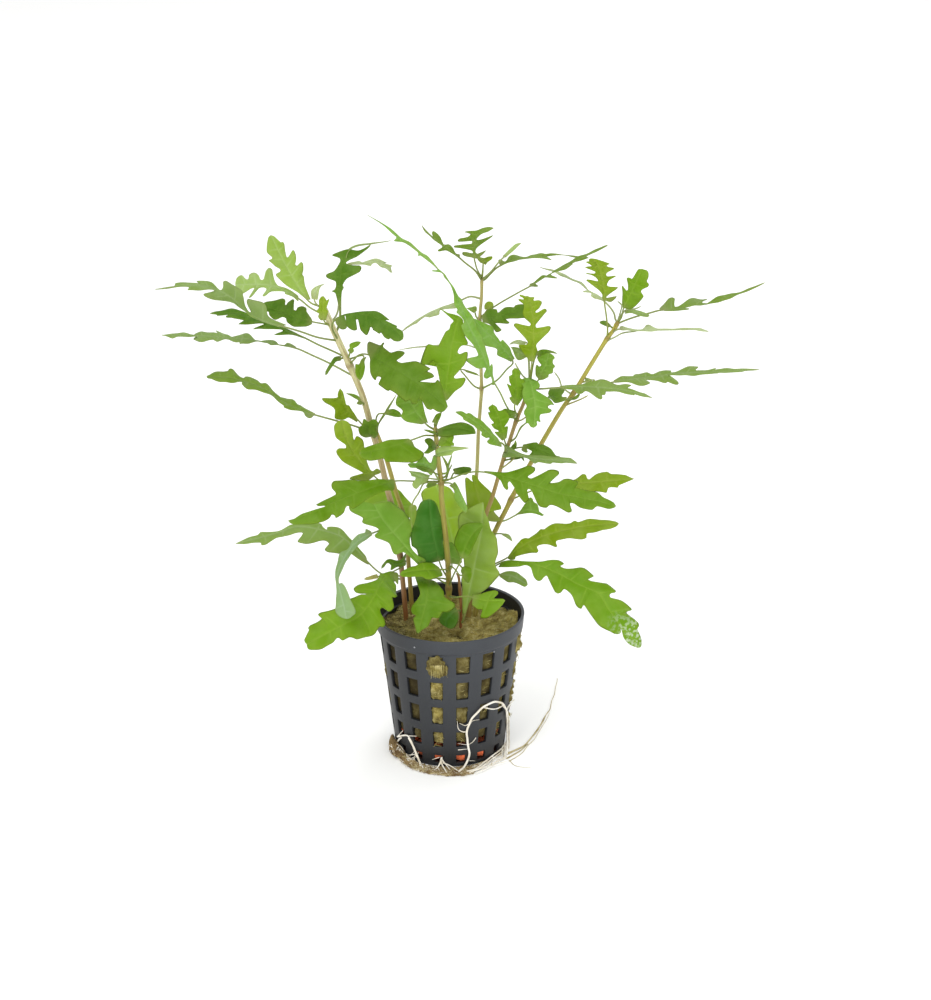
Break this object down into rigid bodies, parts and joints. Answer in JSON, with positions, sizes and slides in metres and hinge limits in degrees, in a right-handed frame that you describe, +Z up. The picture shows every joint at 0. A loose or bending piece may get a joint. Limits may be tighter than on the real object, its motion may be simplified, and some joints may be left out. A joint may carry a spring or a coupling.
{
  "type": "potted aquarium plant",
  "caption": "Hygrophila pinnatifida in a lattice net pot: upright stems with deeply lobed leaves, standing in rockwool over clay pebbles, white roots grown out around the foot.",
  "frame": {"origin": "on the pot's axis, at the underside of its floor, where it rests on the surface", "axes": "+Z up along the pot's axis; -Y towards the viewer of the front; +X to the viewer's right"},
  "size_m": [0.214, 0.1083, 0.2061],
  "materials": {
    "pot_plastic": "matte",
    "rockwool": "matte",
    "clay": "matte",
    "stem": "satin",
    "leaf": "satin",
    "root": "matte"
  },
  "bodies": {
    "root": {"pot": "pot_plastic", "rockwool": "rockwool", "pebble_left": "clay", "pebble_middle": "clay", "pebble_right": "clay", "stem_left": "stem", "stem_left_short": "stem", "stem_middle": "stem", "stem_tall": "stem", "stem_right": "stem", "stem_far_right": "stem", "stem_young": "stem", "leaf_left_1": "leaf", "leaf_left_2": "leaf", "leaf_left_3": "leaf", "leaf_left_4": "leaf", "leaf_left_5": "leaf", "leaf_left_6": "leaf", "leaf_left_7": "leaf", "leaf_left_9": "leaf", "leaf_left_10": "leaf", "leaf_left_11": "leaf", "leaf_left_12": "leaf", "leaf_left_13": "leaf", "leaf_left_14": "leaf", "leaf_left_15": "leaf", "leaf_left_16": "leaf", "leaf_left_17": "leaf", "leaf_middle_1": "leaf", "leaf_middle_2": "leaf", "leaf_middle_3": "leaf", "leaf_middle_5": "leaf", "leaf_middle_6": "leaf", "leaf_middle_7": "leaf", "leaf_middle_8": "leaf", "leaf_middle_9": "leaf", "leaf_middle_10": "leaf", "leaf_middle_11": "leaf", "leaf_tall_6": "leaf", "leaf_tall_8": "leaf", "leaf_right_1": "leaf", "leaf_right_4": "leaf", "leaf_right_5": "leaf", "leaf_right_6": "leaf", "leaf_right_7": "leaf", "leaf_right_9": "leaf", "leaf_right_10": "leaf", "leaf_right_11": "leaf", "leaf_far_1": "leaf", "leaf_far_2": "leaf", "leaf_far_3": "leaf", "leaf_far_6": "leaf", "leaf_far_8": "leaf", "leaf_far_10": "leaf", "leaf_far_11": "leaf", "leaf_young_1": "leaf", "root_loop": "root", "root_left_loop": "root", "root_long": "root", "root_mat": "root"}
  },
  "joints": []
}
